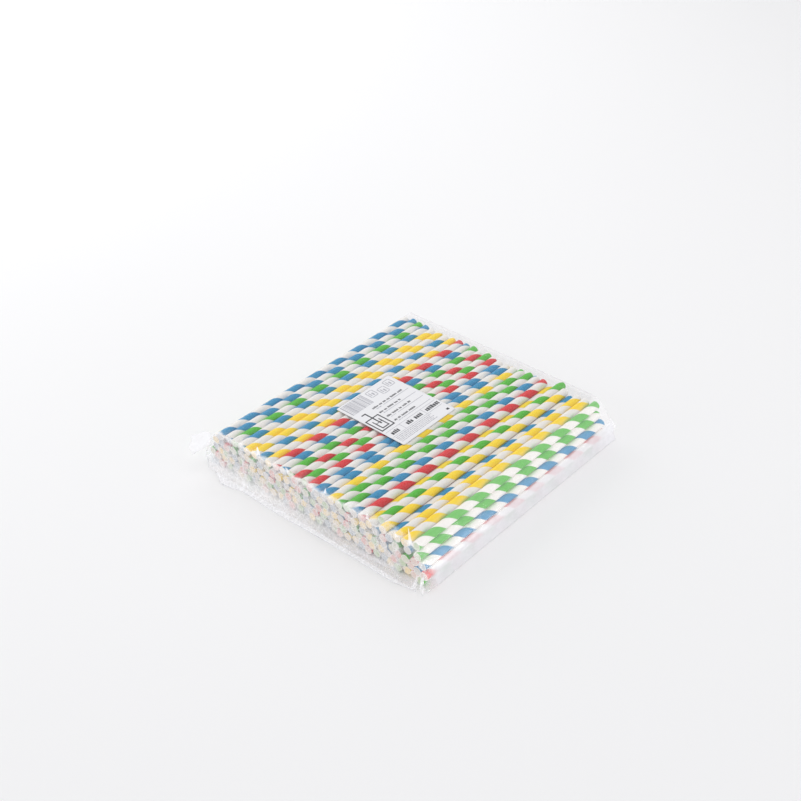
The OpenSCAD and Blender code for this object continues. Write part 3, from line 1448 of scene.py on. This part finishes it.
    def build(self) -> None:
        """Makes the bag and its loose folds and ties them to the frame."""
        self.near_end = sorted(tube.near for tube in self.tubes)[2]
        self.far_end = self.near_end + self.straw_span
        self.outline = self.wrap()
        sheet = self.film_sheet()
        points = sheet.dented(self.flare, self.flare_height)
        mesh = sheet_mesh("film_wrapper", points, sheet.looks(), True)
        sides = {-1: points[..., 0].min(), 1: points[..., 0].max()}
        ends = {-1: self.near_end - self.near_room, 1: self.far_end + self.far_room}
        ear_top = points[..., 2].max() / MM - 1.5
        ear = Fold("film_ear", (8.5, 0.5), 221, 19, (24, 12), (ear_top, 33), 0.93, 4, 0.7)
        pieces = [new_object("film_wrapper", mesh)]
        for side, end, fold in ((-1, -1, ear), *self.folds):
            pieces.append(fold.piece((sides[side], ends[end])))
        pieces += [tuft.piece(f"film_tuft_{i}") for i, tuft in enumerate(self.tufts, 1)]
        film = ClearFilm().material()
        for piece in pieces:
            piece.data.materials.append(film)
            settle(piece, "film", "film_bag")


@dataclass
class Label:
    """The white sticker on the film, with a generic print of bars, lines and plain shapes.

    A bar is its place across and along from the sticker's low corner, its width and its length,
    in millimetres. The box, the cup and the badge are made of bars.
    """

    thickness: float = 0.12 * MM
    corner: float = 1.0 * MM
    ripple: float = 0.06 * MM
    ripple_step: float = 8.45 * MM
    ink_lift: float = 0.03 * MM
    bar_step: float = 1.4
    seed: int = 5
    box: tuple = ((0, 0, 21, 1.3), (0, 15.7, 21, 1.3), (0, 0, 1.3, 17), (19.7, 0, 1.3, 17))
    cup: tuple = (
        (0, 0, 12, 1.2), (0, 7.8, 12, 1.2), (12, 0, 1.3, 9),
        (4, 1.2, 0.8, 6.6), (-14, 4.6, 21, 1.4), (-14, 0.8, 1.4, 3.8),
    )
    badge: tuple = (
        (0, 1, 0.7, 7), (9.3, 1, 0.7, 7), (0.7, 0, 8.6, 0.8), (0.7, 8.2, 8.6, 0.8),
        (2.5, 2.2, 5, 1), (4, 4.6, 4, 1.6),
    )
    low: Vector = field(default_factory=Vector)
    high: Vector = field(default_factory=Vector)

    def level(self, x: np.ndarray) -> np.ndarray:
        """Height of the sticker's upper face at places across the straws."""
        wave = np.cos(2 * math.pi * (x - self.low.x) / self.ripple_step)
        return self.low.z + self.thickness + self.ripple * wave

    def sticker(self) -> Thing:
        """Makes the sticker.

        Returns:
            A thin sheet with round corners that follows the straws below it.
        """
        s, t = lattice(np.linspace(-1, 1, 64), np.linspace(-1, 1, 56))
        half_w, half_l = (self.high.x - self.low.x) / 2, (self.high.y - self.low.y) / 2
        middle_x, middle_y = (self.high.x + self.low.x) / 2, (self.high.y + self.low.y) / 2
        x, y = s * half_w, t * half_l
        inner_w, inner_l = half_w - self.corner, half_l - self.corner
        over_x, over_y = np.maximum(np.abs(x) - inner_w, 0), np.maximum(np.abs(y) - inner_l, 0)
        both = (over_x > 0) & (over_y > 0)
        reach = np.hypot(over_x, over_y)
        pull = np.where(both & (reach > self.corner), self.corner / np.maximum(reach, 1e-9), 1.0)
        x = np.where(both, np.sign(x) * (inner_w + over_x * pull), x) + middle_x
        y = np.where(both, np.sign(y) * (inner_l + over_y * pull), y) + middle_y
        points = np.stack([x, y, self.level(x)], -1)
        return thickened(sheet_mesh("label_sheet", points), self.thickness)

    def bars(self) -> dict[str, list]:
        """Lays out the print.

        Returns:
            Bars for the dark and the pale ink.
        """
        dice = np.random.default_rng(self.seed)
        dark, pale = [], []
        along = 3.0
        while along < 30.0:
            thick = float(dice.choice([0.5, 0.8, 1.2]))
            pale.append((1.5, along, 17.0, thick))
            along += thick + float(dice.choice([0.5, 0.7, 1.0]))
        for line, end in enumerate((61.0, 49.0, 52.0, 49.0)):
            across = 23.2 + 8.8 * line
            self.words(dice, dark, across, 21.5, end, 2.3)
            self.words(dice, pale, across + 3.6, 24.0, 30.0 + 3.0 * (line % 2), 1.0)
            pale.append((across + 4.0, 33.0, 0.5, 34.0))
        for start, end in ((5.0, 15.0), (25.0, 44.0), (51.0, 68.0)):
            self.words(dice, dark, 59.8, start, end, 4.8)
        for line in range(5):
            self.words(dice, pale, 68.3 + 1.9 * line, 3.0, 50.0 - 3 * (line % 2), 1.0)
        pale += [(across, 2.0, 0.4, 66.0) for across in (57.6, 66.6)]
        pale += [(57.6, along, 9.0, 0.4) for along in (19.5, 48.0)]
        dark.append((74.5, 64.0, 2.5, 3.0))
        dark += self.shifted(self.box, 33.0, 2.0) + self.shifted(self.cup, 38.0, 6.0)
        for k in range(3):
            pale += self.shifted(self.badge, 3.0 + 4.0 * (k % 2), 34.0 + 11.5 * k)
        return {"dark": dark, "pale": pale}

    @staticmethod
    def shifted(shape: Sequence[tuple], across: float, along: float) -> list[tuple]:
        """The bars of a shape, moved across and along."""
        return [(across + a, along + b, wide, long) for a, b, wide, long in shape]

    @staticmethod
    def words(
        dice: np.random.Generator, bars: list, across: float, start: float, end: float, tall: float
    ) -> None:
        """Adds a line of short upright strokes in groups, as small print looks from afar.

        Args:
            dice: source of the strokes' sizes.
            bars: list to add to.
            across: where the line stands.
            start: where it starts.
            end: where it ends.
            tall: height of its strokes.
        """
        along = start
        while along < end:
            for _ in range(int(dice.integers(3, 8))):
                stroke = tall * float(dice.uniform(0.28, 0.5))
                height = tall * float(dice.uniform(0.7, 1.0))
                bars.append((across + tall - height, along, height, stroke))
                along += stroke + tall * 0.13
                if along >= end:
                    return
            along += tall * 0.6

    def print_piece(self, name: str, bars: Sequence[tuple]) -> Thing:
        """Turns bars into thin ink on the sticker.

        Args:
            name: the piece's name.
            bars: the bars.

        Returns:
            The ink.
        """
        points, faces = [], []
        for across, along, wide, long in bars:
            columns = max(1, round(wide / self.bar_step))
            first = len(points)
            for i in range(columns + 1):
                x = self.low.x + (across + wide * i / columns) * MM
                z = float(self.level(np.array(x))) + self.ink_lift
                points += [(x, self.low.y + y * MM, z) for y in (along, along + long)]
            starts = range(first, first + 2 * columns, 2)
            faces += [(a, a + 2, a + 3, a + 1) for a in starts]
        return thickened(plain_mesh(name, points, faces, False), self.ink_lift * 0.8)

    def build(self) -> None:
        """Makes the sticker and its print and ties them to the frame."""
        self.low, self.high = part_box("label")
        sheet = self.sticker()
        sheet.data.materials.append(Sticker("label_paper", srgb(231, 231, 234)).material())
        settle(sheet, "label", "label")
        shades = {"dark": srgb(48, 48, 54), "pale": srgb(168, 168, 176)}
        for shade, bars in self.bars().items():
            ink = self.print_piece(f"label_print_{shade}", bars)
            paint = Sticker(f"label_ink_{shade}", shades[shade], 0.5)
            ink.data.materials.append(paint.material())
            settle(ink, "label")


@dataclass(frozen=True)
class Lamp:
    """A soft rectangular studio lamp."""

    name: str
    place: tuple
    aim: tuple
    width: float
    height: float
    power: float

    def build(self) -> None:
        """Puts the lamp in the scene."""
        data = bpy.data.lights.new(self.name, "AREA")
        data.shape = "RECTANGLE"
        data.size, data.size_y = self.width, self.height
        data.energy = self.power
        lamp = new_object(self.name, data)
        way = Vector(self.aim) - Vector(self.place)
        lamp.location = self.place
        lamp.rotation_euler = way.to_track_quat("-Z", "Y").to_euler()


@dataclass
class Studio:
    """The pale floor, the soft lamps, the white surroundings and the camera."""

    floor_size: float = 12.0
    floor_colour: Colour = srgb(246, 246, 247)
    backdrop: Colour = srgb(254, 254, 255)
    world_level: float = 0.585
    camera_place: tuple = (0.6425, -0.7269, 0.7554)
    camera_azimuth: float = 41.91
    camera_elevation: float = 35.75
    camera_roll: float = -1.04
    focal_px: float = 1352.4
    frame_px: float = 801.0
    sensor_mm: float = 36.0
    lamps: tuple = (
        Lamp("left_lamp", (-1.6, 0.2, 0.7), (0, 0, 0), 1.4, 1.2, 6.4),
        Lamp("back_lamp", (-1.2, 1.3, 1.0), (0, 0, 0), 1.2, 1.2, 3.4),
        Lamp("front_lamp", (-1.0, -1.5, 0.7), (0, 0, 0), 1.2, 1.0, 4.0),
        Lamp("right_lamp", (1.4, 0.6, 1.6), (0, 0, 0), 1.2, 1.2, 2.0),
        Lamp("low_lamp", (1.6, 0.2, 0.13), (0.1, 0, 0.02), 1.6, 0.2, 5.6),
        Lamp("top_lamp", (0.0, 0.2, 2.2), (0, 0, 0), 1.6, 1.6, 12.6),
    )

    def floor(self) -> None:
        """Makes the floor."""
        half = self.floor_size / 2
        corners = [(-half, -half, 0), (half, -half, 0), (half, half, 0), (-half, half, 0)]
        floor = new_object("floor", plain_mesh("floor", corners, [(0, 1, 2, 3)], False))
        material, kit = new_material("floor_white")
        matt = {"Base Color": self.floor_colour, "Roughness": 0.6, "Specular IOR Level": 0.2}
        kit.show(kit.principled(matt))
        floor.data.materials.append(material)

    def surroundings(self) -> None:
        """Lights the scene evenly from all sides, with a white backdrop."""
        world = bpy.data.worlds.new("white_room")
        world.use_nodes = True
        kit = NodeKit(world.node_tree)
        path = kit.make("ShaderNodeLightPath")
        glossy = kit.number(path, "Is Glossy Ray")
        seen = kit.number(path, "Is Camera Ray").math("MAXIMUM", glossy)
        level = seen * (1.0 - self.world_level) + self.world_level
        light = kit.make("ShaderNodeBackground", {"Color": self.backdrop, "Strength": level})
        kit.make("ShaderNodeOutputWorld", {"Surface": light})
        bpy.context.scene.world = world

    def camera(self) -> None:
        """Makes the camera that stands where the photograph was taken."""
        data = bpy.data.cameras.new("camera")
        data.sensor_width = self.sensor_mm
        data.lens = self.focal_px * self.sensor_mm / self.frame_px
        data.clip_start, data.clip_end = 0.01, 50.0
        camera = new_object("camera", data)
        angles = (self.camera_azimuth, self.camera_elevation, self.camera_roll)
        a, e, roll = (math.radians(angle) for angle in angles)
        back = Vector((math.sin(a) * math.cos(e), -math.cos(a) * math.cos(e), math.sin(e)))
        level = Vector((math.cos(a), math.sin(a), 0))
        rise = back.cross(level)
        right = math.cos(roll) * level + math.sin(roll) * rise
        up = math.cos(roll) * rise - math.sin(roll) * level
        turned = Matrix((right, up, back)).transposed().to_4x4()
        camera.matrix_world = Matrix.Translation(self.camera_place) @ turned
        bpy.context.scene.camera = camera

    def build(self) -> None:
        """Sets the scene and its view settings."""
        self.floor()
        self.surroundings()
        self.camera()
        for lamp in self.lamps:
            lamp.build()
        bpy.context.scene.view_settings.view_transform = "Standard"


def main() -> None:
    """Builds the studio and the pack's pieces in order."""
    logging.basicConfig(level=logging.INFO, format="%(name)s: %(message)s")
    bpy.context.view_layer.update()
    Studio().build()
    pile = StrawPile()
    pile.read_frame()
    pile.build()
    FilmWrapper(pile.tubes).build()
    Label().build()


if __name__ == "__main__":
    main()
